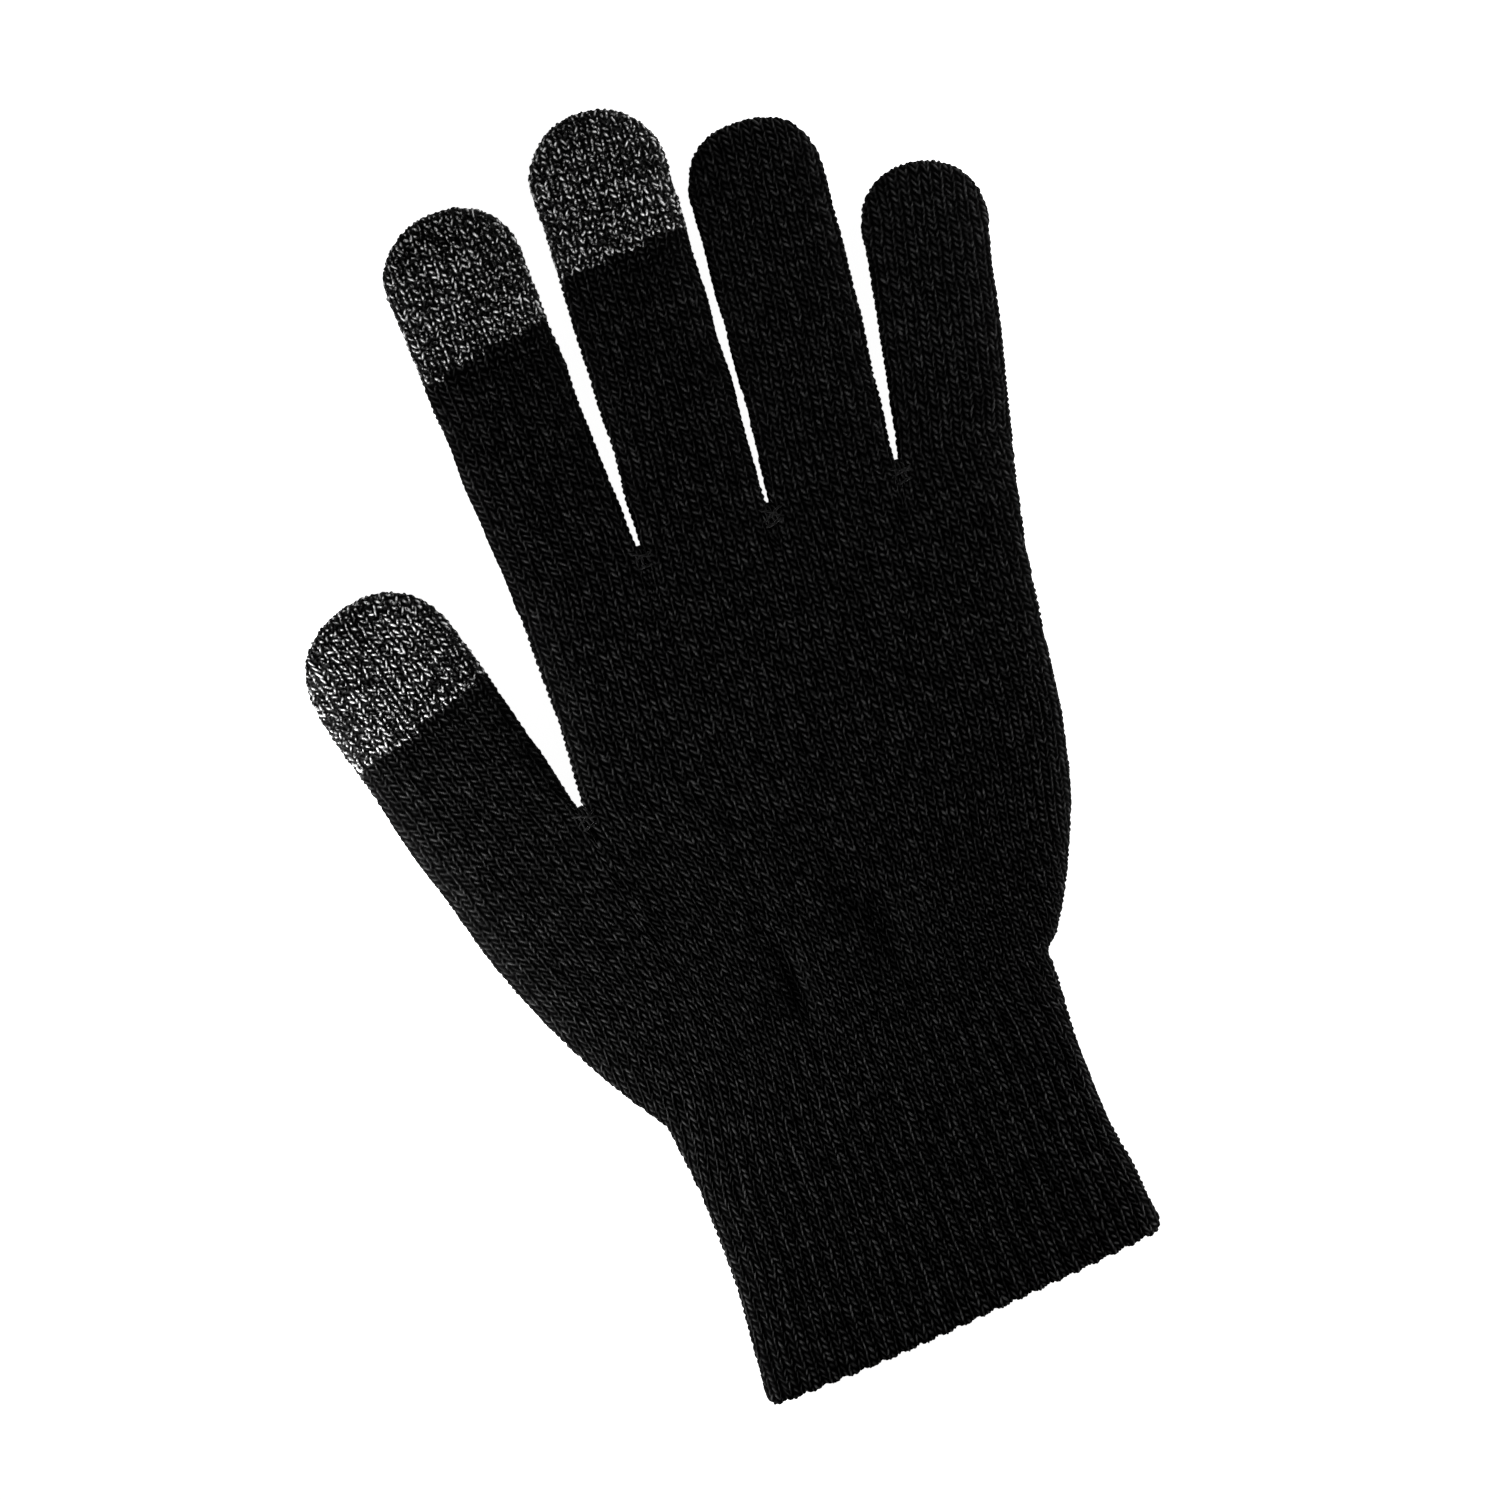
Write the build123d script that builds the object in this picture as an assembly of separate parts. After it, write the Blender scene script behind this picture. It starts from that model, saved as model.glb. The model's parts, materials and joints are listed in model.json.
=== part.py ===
"""A knitted touchscreen glove, lying flat with its palm side up. Millimetres, +Z up.

Drawn first in the glove's own plane: X across the palm, +Y along it towards the fingers, and
the knuckle line, where the four finger tubes start, on y = 0. At the end every part moves so
that the origin is the middle of the glove's box, on the surface that it lies on.

The knitting is one continuous fabric. It is cut here into the lengths of tube that stay
stiff while the hand inside bends, and each length turns about the crease next to it.
"""

from build123d import *
import math
import os
from dataclasses import dataclass

# ---- driving dimensions ----
HEIGHT = 8.0  # both layers and the air between them
WALL = 1.5  # one layer of fabric
EDGE_RADIUS = 3.6  # outside rounding where a layer folds over at the side
JOINT_GAP = 0.3  # between two lengths of tube that turn on each other
OVERRUN = 6.0  # how far a tube is drawn past its ends before they are cut

# ---- thumb and wrist lines ----
THUMB_CROTCH = (-48.4, -40.5)
THUMB_LEAN = 16.0  # degrees, away from the fingers
WRIST_LEFT = (-52.2, -98.9)
WRIST_RIGHT = (22.6, -90.3)
WRIST_BEND = 40.0  # degrees each way
MOUTH_LEFT = (-50.6, -151.6)
MOUTH_RIGHT = (25.8, -143.4)

# ---- cuff ----
WELT_LENGTH = 2.6  # the overlocked edge
ELASTIC_COUNT = 9
ELASTIC_WIDTH = 0.8
ELASTIC_DEPTH = 0.6  # how deep each thread lies in the inner face

# ---- small yarn pieces ----
DARN_RADIUS = 1.3
DARN_SETBACK = 1.9  # behind the line where the fingers part
KNOT_RADIUS = 1.25
TAIL_RADIUS = 0.45
TAIL_LENGTH = 7.0


@dataclass
class Digit:
    """A finger or thumb tube: straight sides that meet a round tip."""

    base: tuple  # middle of the line where the tube starts
    lean: float  # degrees, clockwise from +Y
    base_half: float  # half the flat width at the base
    tip_radius: float
    tip_centre: float  # from the base to the centre of the round tip
    creases: tuple  # from the base to each crease, along the way it is cut
    cut_lean: float  # degrees: the way the cuts face, clockwise from +Y


FINGERS = {
    "index": Digit((-36.6, 0), -3.3, 11.9, 12.8, 56.0, (20.5, 41.2), 0),
    "middle": Digit((-12.2, 0), 1.7, 11.6, 12.6, 64.3, (25.5, 50.0), 0),
    "ring": Digit((12.2, 0), 3.9, 11.6, 12.4, 55.4, (22.5, 43.5), 0),
    "little": Digit((35.0, 0), 10.6, 10.3, 11.4, 39.5, (16.5, 31.5), 0),
}
THUMB_HALF = 14.4


def heading(lean):
    """The direction that leans this many degrees clockwise from +Y."""
    return Vector(math.sin(math.radians(lean)), math.cos(math.radians(lean)))


THUMB_ALONG = heading(-THUMB_LEAN)
THUMB_ACROSS = Vector(THUMB_ALONG.Y, -THUMB_ALONG.X)
THUMB_BASE = Vector(*THUMB_CROTCH) - THUMB_ACROSS * (THUMB_HALF + 0.5)
THUMB = Digit(
    (THUMB_BASE.X, THUMB_BASE.Y), -THUMB_LEAN, THUMB_HALF, 14.7, 38.8, (27.6,), -THUMB_LEAN
)
DIGITS = {**FINGERS, "thumb": THUMB}

WRIST_ACROSS = (Vector(*WRIST_RIGHT) - Vector(*WRIST_LEFT)).normalized()
WRIST_MIDDLE = (Vector(*WRIST_RIGHT) + Vector(*WRIST_LEFT)) * 0.5
WRIST_LEAN = math.degrees(math.atan2(-WRIST_ACROSS.Y, WRIST_ACROSS.X))
MOUTH_ACROSS = (Vector(*MOUTH_RIGHT) - Vector(*MOUTH_LEFT)).normalized()
MOUTH_MIDDLE = (Vector(*MOUTH_RIGHT) + Vector(*MOUTH_LEFT)) * 0.5
MOUTH_LEAN = math.degrees(math.atan2(-MOUTH_ACROSS.Y, MOUTH_ACROSS.X))

# Side edges of the palm and cuff tubes: three points of an arc, from the finger end down.
PALM_UPPER_SIDES = (
    ((-49.1, 6.0), (-47.8, -18.0), (-48.7, -46.0)),
    ((47.4, 6.0), (41.7, -19.0), (38.9, -46.0)),
)
PALM_LOWER_SIDES = (
    ((-78.6, -42.0), (-67.6, -73.5), (-49.6, -102.0)),
    ((39.8, -34.0), (35.6, -63.0), (20.0, -95.5)),
)
CUFF_SIDES = (
    ((-53.4, -92.0), (-49.6, -122.0), (-50.9, -156.0)),
    ((23.2, -84.0), (22.2, -113.0), (27.2, -149.0)),
)


def beyond(point, lean, pitch=0.0, gap=JOINT_GAP / 2, height=0.0):
    """A big block that holds all that lies past a cutting plane, less half the joint's gap."""
    reach = 400
    turned = Location((0, 0, 0), (0, 0, -lean)) * Location((0, 0, 0), (pitch, 0, 0))
    place = Pos(*Vector(point)) * Pos(0, 0, height) * turned
    block = Box(reach, reach, reach, align=(Align.CENTER, Align.MIN, Align.CENTER))
    return place * Pos(0, -gap, 0) * block


def moved_in(points, distance):
    """The arc through three points, moved sideways to its right by that distance."""
    (ax, ay), (bx, by), (cx, cy) = points
    twice_area = 2 * (ax * (by - cy) + bx * (cy - ay) + cx * (ay - by))
    a2, b2, c2 = ax * ax + ay * ay, bx * bx + by * by, cx * cx + cy * cy
    centre = Vector(
        (a2 * (by - cy) + b2 * (cy - ay) + c2 * (ay - by)) / twice_area,
        (a2 * (cx - bx) + b2 * (ax - cx) + c2 * (bx - ax)) / twice_area,
    )
    turn = math.copysign(1, twice_area)
    return [Vector(*p) + (Vector(*p) - centre).normalized() * distance * turn for p in points]


def slab(outline, inset):
    """An outline raised to the glove's height, less the inset above and below, and rounded at its sides."""
    solid = extrude(Pos(0, 0, inset) * make_face(outline), HEIGHT - 2 * inset)
    return solid, EDGE_RADIUS - inset


def flat_tube(sides, inset):
    """The solid between two curved side edges, with square open ends."""
    left = moved_in(sides[0], -inset)
    right = moved_in(sides[1], inset)
    outline = Curve() + [
        ThreePointArc(*left),
        Line(left[2], right[2]),
        ThreePointArc(*right),
        Line(right[0], left[0]),
    ]
    solid, radius = slab(outline, inset)
    curved = solid.edges().filter_by(GeomType.CIRCLE)
    return fillet(curved, radius)


def digit_tube(digit, inset):
    """The solid of a whole finger or thumb, with a round tip and a square end past its base."""
    half, tip = digit.base_half - inset, digit.tip_radius - inset
    reach = digit.tip_centre
    flare = math.asin(tip / math.hypot(reach, half)) - math.atan2(half, reach)
    side = Vector(tip * math.cos(flare), reach - tip * math.sin(flare))
    foot = Vector(half - OVERRUN * math.tan(flare), -OVERRUN)
    mirrored = [Vector(-p.X, p.Y) for p in (side, foot)]
    outline = Curve() + [
        Line(foot, side),
        ThreePointArc(side, (0, reach + tip), mirrored[0]),
        Line(mirrored[0], mirrored[1]),
        Line(mirrored[1], foot),
    ]
    solid, radius = slab(outline, inset)
    level = solid.edges().filter_by(Axis.Z, reverse=True)
    rounded = [e for e in level if e.center().Y > -OVERRUN + 0.1]
    return Location((*digit.base, 0), (0, 0, -digit.lean)) * fillet(rounded, radius)


def crease_point(digit, distance):
    """Where a crease crosses the digit's middle, that far from its base the way its cuts face."""
    along, facing = heading(digit.lean), heading(digit.cut_lean)
    return Vector(*digit.base) + along * (distance / along.dot(facing))


def digit_lengths(digit):
    """The lengths of one digit's tube, from the base to the tip."""
    shell = digit_tube(digit, 0) - digit_tube(digit, WALL)
    starts = [crease_point(digit, s) for s in (0, *digit.creases)]
    lengths = []
    for i, start in enumerate(starts):
        length = shell - beyond(start, digit.cut_lean + 180)
        if i + 1 < len(starts):
            length -= beyond(starts[i + 1], digit.cut_lean)
        lengths.append(length)
    return lengths


def tip_knot(digit):
    """The knot and tail of the starting yarn, lying inside the end of the tip."""
    floor = WALL + 0.1
    end = digit.tip_centre + digit.tip_radius - WALL - KNOT_RADIUS - 1.2
    tail = Cylinder(TAIL_RADIUS, TAIL_LENGTH, rotation=(90, 0, 0), align=(Align.CENTER,) * 2 + (Align.MIN,))
    knot = Pos(0, 0, KNOT_RADIUS) * Sphere(KNOT_RADIUS) + Pos(0, 0, TAIL_RADIUS + 0.3) * tail
    return Location((*digit.base, 0), (0, 0, -digit.lean)) * Pos(0, end, floor) * knot


def darn(x, y):
    """The stitches that tie the two layers together where two tubes part."""
    return Pos(x, y, WALL) * Cylinder(
        DARN_RADIUS, HEIGHT - 2 * WALL, align=(Align.CENTER, Align.CENTER, Align.MIN)
    )


def palm_parts():
    """The four-finger palm, the five-finger palm below the thumb, and the darns between tubes."""
    upper = flat_tube(PALM_UPPER_SIDES, 0) - flat_tube(PALM_UPPER_SIDES, WALL)
    upper -= beyond((0, 0), 0)
    upper -= beyond(THUMB_CROTCH, 180, gap=0)
    lower = flat_tube(PALM_LOWER_SIDES, 0) - flat_tube(PALM_LOWER_SIDES, WALL)
    lower -= beyond(THUMB_CROTCH, 0, gap=0)
    lower -= beyond(THUMB_CROTCH, -THUMB_LEAN)
    for pitch in (-WRIST_BEND / 2, WRIST_BEND / 2):
        lower -= beyond(WRIST_MIDDLE, WRIST_LEAN + 180, pitch, height=HEIGHT / 2)
    parts = {"palm_upper": upper, "palm_lower": lower}
    names = list(FINGERS)
    for first, second in zip(names, names[1:]):
        a, b = FINGERS[first], FINGERS[second]
        x = (a.base[0] + a.base_half + b.base[0] - b.base_half) / 2
        parts[f"darn_{first}_{second}"] = darn(x, -DARN_SETBACK)
    corner = Vector(*THUMB_CROTCH) + Vector(2.4, -DARN_SETBACK - 0.4)
    parts["darn_thumb_palm"] = darn(corner.X, corner.Y)
    return parts


def cuff_parts():
    """The ribbed cuff, the elastic threads laid into its inner face, and its overlocked edge."""
    inner = flat_tube(CUFF_SIDES, WALL)
    whole = flat_tube(CUFF_SIDES, 0) - inner - beyond(MOUTH_MIDDLE, MOUTH_LEAN + 180, gap=0)
    for pitch in (-WRIST_BEND / 2, WRIST_BEND / 2):
        whole -= beyond(WRIST_MIDDLE, WRIST_LEAN, pitch, height=HEIGHT / 2)
    down = heading(MOUTH_LEAN + 180)
    welt_start = MOUTH_MIDDLE - down * WELT_LENGTH
    layer = flat_tube(CUFF_SIDES, WALL - ELASTIC_DEPTH) - inner
    length = (welt_start - WRIST_MIDDLE).length
    spacing = length / (ELASTIC_COUNT + 1)
    threads = []
    for i in range(ELASTIC_COUNT):
        start = WRIST_MIDDLE + (welt_start - WRIST_MIDDLE) * ((i + 1) * spacing / length)
        past = start + down * ELASTIC_WIDTH
        thread = layer - beyond(start, MOUTH_LEAN, gap=0) - beyond(past, MOUTH_LEAN + 180, gap=0)
        threads.append(thread.solid())
    body = whole - beyond(welt_start, MOUTH_LEAN + 180, gap=0)
    for thread in threads:
        body -= thread
    welt = whole - beyond(welt_start, MOUTH_LEAN, gap=0)
    return {"cuff": body, "cuff_welt": welt, "cuff_elastic": Compound(threads)}


TOUCH = ("thumb", "index", "middle")  # the digits with a conductive tip


def length_names(name):
    """The node names of one digit's lengths."""
    count = len(DIGITS[name].creases) + 1
    names = ["base", "mid", "tip"][: count - 1] + ["touch_tip" if name in TOUCH else "tip"]
    return [f"{name}_{part}" for part in names]


def build():
    """Every node, in the glove's own plane."""
    parts = {**palm_parts(), **cuff_parts()}
    for name, digit in DIGITS.items():
        parts.update(zip(length_names(name), digit_lengths(digit)))
        parts[f"{name}_tip_knot"] = tip_knot(digit)
    return parts


PARTS = build()
BOX = Compound(list(PARTS.values())).bounding_box()
SHIFT = Vector(-BOX.center().X, -BOX.center().Y, -BOX.min.Z)

os.makedirs("parts", exist_ok=True)
for node, shape in PARTS.items():
    placed = Pos(*SHIFT) * shape
    export_step(Compound(placed.solids()) if len(placed.solids()) > 1 else placed.solid(), f"parts/{node}.step")
print("box", BOX.size, "shift", SHIFT)
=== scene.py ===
import json
import math

import bpy
import numpy as np
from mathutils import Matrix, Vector


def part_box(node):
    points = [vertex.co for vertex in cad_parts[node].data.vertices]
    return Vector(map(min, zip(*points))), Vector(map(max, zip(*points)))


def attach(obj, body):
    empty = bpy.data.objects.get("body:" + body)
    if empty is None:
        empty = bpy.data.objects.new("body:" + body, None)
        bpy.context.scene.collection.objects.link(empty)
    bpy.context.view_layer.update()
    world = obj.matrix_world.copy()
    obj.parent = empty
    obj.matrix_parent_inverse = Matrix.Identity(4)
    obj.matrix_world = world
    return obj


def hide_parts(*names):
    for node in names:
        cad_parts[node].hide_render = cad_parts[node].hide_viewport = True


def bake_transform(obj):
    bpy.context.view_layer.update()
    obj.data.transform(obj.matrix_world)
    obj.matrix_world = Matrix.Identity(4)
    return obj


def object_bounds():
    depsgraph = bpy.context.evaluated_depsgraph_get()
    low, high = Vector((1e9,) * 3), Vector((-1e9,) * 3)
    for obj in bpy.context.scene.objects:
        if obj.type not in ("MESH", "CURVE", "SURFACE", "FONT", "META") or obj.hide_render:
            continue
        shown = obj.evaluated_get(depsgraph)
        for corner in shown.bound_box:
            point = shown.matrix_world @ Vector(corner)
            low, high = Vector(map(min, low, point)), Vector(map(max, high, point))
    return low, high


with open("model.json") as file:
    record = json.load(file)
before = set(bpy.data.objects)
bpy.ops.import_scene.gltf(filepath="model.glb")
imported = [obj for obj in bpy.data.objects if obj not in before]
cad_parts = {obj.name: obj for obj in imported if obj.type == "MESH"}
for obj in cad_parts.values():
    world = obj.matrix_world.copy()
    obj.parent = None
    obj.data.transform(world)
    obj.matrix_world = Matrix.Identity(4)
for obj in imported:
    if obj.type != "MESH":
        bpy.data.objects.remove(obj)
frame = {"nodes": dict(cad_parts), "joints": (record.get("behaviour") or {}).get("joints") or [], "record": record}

CAD_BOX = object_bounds()
MM = 0.001
SEED = 11

# ---- the knit, in millimetres ----
WALE = 1.95  # one column of stitches
COURSE = 1.18  # one row of stitches
RELIEF = 0.45  # how far a yarn stands out of the fabric
RIBS = 21  # across the cuff, each two columns wide
RIB = 3.6  # the width of one
RIB_RISE = 0.14  # how far its middle stands above its edges
RIB_PHASE = 2.4  # where in two columns the middle of a rib falls, as an angle
RIB_PAINTED_LIGHT, RIB_PAINTED_SHADE = 0.30, 0.13  # painted light: how much lighter its middle is; painted shade: how much darker its edges are
FABRIC = 0.85  # one layer at the cuff's mouth
THUMB_SLIP = 9.5  # columns that run round the fold between the thumb and the wrist
YARN = 0.24  # radius of the darning yarn
THREADS = 9  # elastic threads in the cuff

# ---- the mesh, in millimetres ----
COLUMN_STEP = 0.22
ROW_STEP = 0.2
FINE_STEP = 0.15  # on the marl tips, whose loops are told apart by eye
FOLD = 9.0  # how far in from a folded side the fabric starts to curve down
FOLD_AT_CROTCH = 0.8
FOLD_SHARE = 0.4  # how much a step down the fold counts against a step across
CLEAR = 0.4  # under the lowest yarn
TIP_LEAD = 2.54  # rows before the last crease, where a marl tip's finer mesh starts
LINING = 22.0  # how far the inner face is modelled, in from the mouth
LINING_STEP = 0.4

HEIGHT = (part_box("palm_upper")[1].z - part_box("palm_upper")[0].z) / MM
HALF_HEIGHT = HEIGHT / 2 - CLEAR
MIDDLE = HEIGHT / 2

JOINTS = {j["name"]: j for j in frame["joints"]}
FINGERS = ("index", "middle", "ring", "little")
TOUCH = ("thumb", "index", "middle")


def joint_place(name):
    """Where a joint is, seen from above, in millimetres."""
    return np.array(JOINTS[name]["pos_m"][:2]) / MM


def joint_facing(name):
    """The level direction at right angles to a hinge, towards its child."""
    x, y, _ = JOINTS[name]["axis"]
    return np.array((-y, x))


def smooth(x, start, end):
    """0 before start, 1 after end, and a smooth step between."""
    t = np.clip((x - start) / (end - start), 0, 1)
    return t * t * (3 - 2 * t)


# ---------------------------------------------------------------- outlines, read from the frame


def outline(nodes, origin, along, stations):
    """How far some CAD nodes reach to the left and right of a line, at each station along it."""
    across = np.array((along[1], -along[0]))
    low, high = np.full(len(stations), np.inf), np.full(len(stations), -np.inf)
    for name in nodes:
        mesh = frame["nodes"][name].data
        flat = np.empty(len(mesh.vertices) * 3)
        mesh.vertices.foreach_get("co", flat)
        flat = flat.reshape(-1, 3)[:, :2] / MM - origin
        ends = np.empty(len(mesh.edges) * 2, int)
        mesh.edges.foreach_get("vertices", ends)
        ends = ends.reshape(-1, 2)
        s, t = (flat @ along)[ends], (flat @ across)[ends]
        for k, station in enumerate(stations):
            hit = (s[:, 0] - station) * (s[:, 1] - station) < 0
            if hit.any():
                share = (station - s[hit, 0]) / (s[hit, 1] - s[hit, 0])
                place = t[hit, 0] + share * (t[hit, 1] - t[hit, 0])
                low[k], high[k] = min(low[k], place.min()), max(high[k], place.max())
    known = np.flatnonzero(np.isfinite(low))
    known = known[np.argsort(stations[known])]
    return (
        np.interp(stations, stations[known], low[known]),
        np.interp(stations, stations[known], high[known]),
    )


def bridged(stations, values, cuts, near):
    """Values with the neighbourhoods of some cuts between CAD nodes bridged over."""
    clear = np.ones(len(stations), bool)
    for cut in cuts:
        clear &= np.abs(stations - cut) > near
    order = np.argsort(stations[clear])
    mended = np.interp(stations, stations[clear][order], values[clear][order])
    places = np.arange(len(stations))
    first, last = clear.argmax(), len(clear) - 1 - clear[::-1].argmax()
    for end, beyond in ((first, places < first), (last, places > last)):
        if beyond.any():
            fit = clear & (np.abs(stations - stations[end]) < 6)
            slope, level = np.polyfit(stations[fit], values[fit], 1)
            mended = np.where(beyond, level + slope * stations, mended)
    return mended


# ---------------------------------------------------------------- stitches

TABLE = 251
RANDOM = np.random.default_rng(SEED).uniform(-1, 1, (TABLE, TABLE, 10)).astype(np.float32)

# A stitch shows two legs of yarn: a short slanting one, and one that lies nearly along the column.
# Each is (u0, v0, u1, v1, radius, lift, how far its ends dip), in columns and rows.
PLAIN = (
    (0.08, 1.00, 0.54, -0.02, 0.27, 1.0, 0.60),
    (0.70, -0.16, 0.85, 0.98, 0.22, 0.95, 0.54),
)
MARL = (
    (0.10, 0.90, 0.48, 0.04, 0.23, 1.0, 0.72),
    (0.66, -0.04, 0.86, 0.90, 0.20, 0.97, 0.66),
)


def jersey(w, c, legs, jitter):
    """At a column and row: how high the yarn stands, its own shade (both 0 to 1), and its row."""
    column, row = np.floor(w), np.floor(c)
    u, v = (w - column) * WALE, c - row
    height, shade, owner = np.zeros_like(w), np.full_like(w, 0.5), row.copy()
    for step in (-1, 0, 1):
        chance = RANDOM[column.astype(int) % TABLE, (row + step).astype(int) % TABLE]
        for k, (u0, v0, u1, v1, radius, lift, dip) in enumerate(legs):
            ax = u0 * WALE + jitter * chance[..., k]
            ay = (v0 + step + jitter * chance[..., 2]) * COURSE
            bx = u1 * WALE + jitter * chance[..., 8 + k]
            by = (v1 + step + jitter * chance[..., 3]) * COURSE
            dx, dy = bx - ax, by - ay
            px, py = u - ax, v * COURSE - ay
            t = np.clip((px * dx + py * dy) / (dx * dx + dy * dy), 0, 1)
            gap = np.hypot(px - t * dx, py - t * dy) / (radius * (1 + 0.14 * chance[..., 4]))
            yarn = np.sqrt(np.clip(1 - gap * gap, 0, 1)) * (1 - dip * (2 * t - 1) ** 2)
            yarn *= lift * (1 + 0.12 * chance[..., 5])
            top = yarn > height
            shade = np.where(top, 0.5 + 0.5 * chance[..., 6 + k], shade)
            owner = np.where(top, row + step, owner)
            height = np.maximum(height, yarn)
    return height, shade, owner


def waves(x, y, lengths, salt):
    """A gentle random swell, from -1 to 1, over a level place."""
    rng = np.random.default_rng(SEED + salt)
    total = np.zeros_like(x)
    for length in lengths:
        angle, phase = rng.uniform(0, 2 * math.pi, 2)
        total += np.sin((x * math.cos(angle) + y * math.sin(angle)) * 2 * math.pi / length + phase)
    return total / len(lengths)


# Shallow dips in the heel of the palm, where the two layers have slackened: place from the thumb's
# crotch, in millimetres, with how wide, how long and how deep.
DIPS = (
    (26.5, -42.5, 1.7, 4.5, 1.5), (24.0, -36.5, 3.4, 6.0, 1.1), (44.5, -37.0, 3.0, 6.0, 2.0),
    (40.0, -27.5, 3.2, 6.0, 1.4), (12.0, -24.0, 6.0, 8.0, 0.6),
)


def dips(x, y):
    """How far the upper layer sinks at a place."""
    sunk = np.zeros_like(x)
    for along_x, along_y, wide, long, deep in DIPS:
        px, py = x - THUMB_CROTCH[0] - along_x, y - THUMB_CROTCH[1] - along_y
        sunk += deep * np.exp(-0.5 * ((px / wide) ** 2 + (py / long) ** 2))
    return sunk


# ---------------------------------------------------------------- flattened tubes

ANGLES = np.linspace(0, math.pi / 2, 200)
FOLD_LENGTHS = np.concatenate(
    ([0], np.cumsum(np.hypot(np.cos(ANGLES[1:]), 0.25 * np.sin(ANGLES[1:]))))
)
FOLD_LENGTHS /= FOLD_LENGTHS[-1]


def fold_length(wide, high):
    """The length across a folded side, a quarter of an ellipse, with its height counted less."""
    high = high * FOLD_SHARE
    return math.pi / 4 * (3 * (wide + high) - np.sqrt((3 * wide + high) * (wide + 3 * high)))


class Tube:
    """Rows of points across a flattened tube: its upper layer and its lower layer."""

    def __init__(self, left, right, fold_left, fold_right, half, columns):
        width = np.linalg.norm(right - left, axis=1)
        fold_left = np.minimum(fold_left, width * 0.4999)[:, None]
        fold_right = np.minimum(fold_right, width * 0.4999)[:, None]
        half = half[:, None]
        turn_left, turn_right = fold_length(fold_left, half), fold_length(fold_right, half)
        width = width[:, None]
        level = width - fold_left - fold_right
        total = turn_left + level + turn_right
        across = np.linspace(0, 1, columns)[None, :] * total
        in_left = np.clip(1 - across / turn_left, 0, 1)
        in_right = np.clip((across - turn_left - level) / turn_right, 0, 1)
        angle_left = np.interp(in_left, FOLD_LENGTHS, ANGLES)
        angle_right = np.interp(in_right, FOLD_LENGTHS, ANGLES)
        x = np.clip(across - turn_left, 0, level) + fold_left
        x = x - fold_left * np.sin(angle_left) + fold_right * np.sin(angle_right)
        rise = half * np.cos(angle_left) * np.cos(angle_right)
        place = left[:, None] + (right - left)[:, None] * (x / width)[..., None]
        self.upper = np.dstack((place, MIDDLE + rise))
        self.lower = np.dstack((place, MIDDLE - rise))
        self.across = across - total / 2


def ring(upper, lower):
    """Both layers as one closed row: left to right above, then back below."""
    return np.concatenate((upper, lower[:, -2:0:-1]), axis=1)


def outward(points):
    """The direction out of the fabric at every point of a stack of closed rows."""
    over = np.roll(points, -1, axis=1) - np.roll(points, 1, axis=1)
    along = np.gradient(points, axis=0)
    normal = np.cross(over, along)
    length = np.linalg.norm(normal, axis=2, keepdims=True)
    normal /= np.maximum(length, 1e-9)
    count = points.shape[1] // 2
    return normal * np.sign(normal[2:6, 2 : count - 2, 2].mean())


def knitted(tube, w, c, ribs=None, first_rib=0.0, legs=PLAIN, jitter=0.19):
    """A tube's points with its yarn raised, and what the material needs to know of each point."""
    points = ring(tube.upper, tube.lower)
    w, c = ring(w, w), ring(c, c)
    x, y = points[..., 0], points[..., 1]
    w = w + 0.10 * waves(x, y, (9, 14, 23), 1)
    c = c + 0.20 * waves(x, y, (8, 13, 21), 2)
    height, shade, owner = jersey(w, c, legs, jitter)
    raised = RELIEF * height
    # The height of the yarn also sets painted shade between the loops and painted light on their tops.
    crown = height
    if ribs is not None:
        ribs = ring(ribs, ribs)
        ridge = 0.5 + 0.5 * np.cos(math.pi * (w - first_rib) - RIB_PHASE)
        raised = raised + ribs * RIB_RISE * (ridge - 0.5)
        # Painted light on each rib's middle and painted shade at its edges.
        crown = height * (1 + ribs * (RIB_PAINTED_LIGHT * ridge**2 - RIB_PAINTED_SHADE))
    swell = 0.16 * waves(x, y, (17, 29, 47), 4)
    swell = swell - np.where(points[..., 2] > MIDDLE, dips(x, y), 0)
    out = outward(points)
    raised = (raised - RELIEF * 0.5) * (0.7 + 0.3 * np.abs(out[..., 2]))
    points = points + out * (raised + swell)[..., None]
    return points, {"crown": crown, "tone": shade, "row": owner, "normal": outward(points)}


def make_mesh(name, co, loops, sizes, normals, values):
    """A smooth mesh object, in metres, with some numbers kept on its points."""
    mesh = bpy.data.meshes.new(name)
    mesh.vertices.add(len(co))
    mesh.vertices.foreach_set("co", (co * MM).astype(np.float32).reshape(-1))
    mesh.loops.add(len(loops))
    mesh.loops.foreach_set("vertex_index", loops.astype(np.int32))
    mesh.polygons.add(len(sizes))
    starts = np.concatenate(([0], np.cumsum(sizes)[:-1]))
    mesh.polygons.foreach_set("loop_start", starts.astype(np.int32))
    mesh.polygons.foreach_set("use_smooth", np.ones(len(sizes), bool))
    mesh.update(calc_edges=True)
    mesh.validate()
    if normals is not None:
        mesh.normals_split_custom_set_from_vertices(normals)
    for key, value in values.items():
        attribute = mesh.attributes.new(key, "FLOAT", "POINT")
        attribute.data.foreach_set("value", value.astype(np.float32))
    piece = bpy.data.objects.new(name, mesh)
    bpy.context.scene.collection.objects.link(piece)
    return piece


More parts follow.
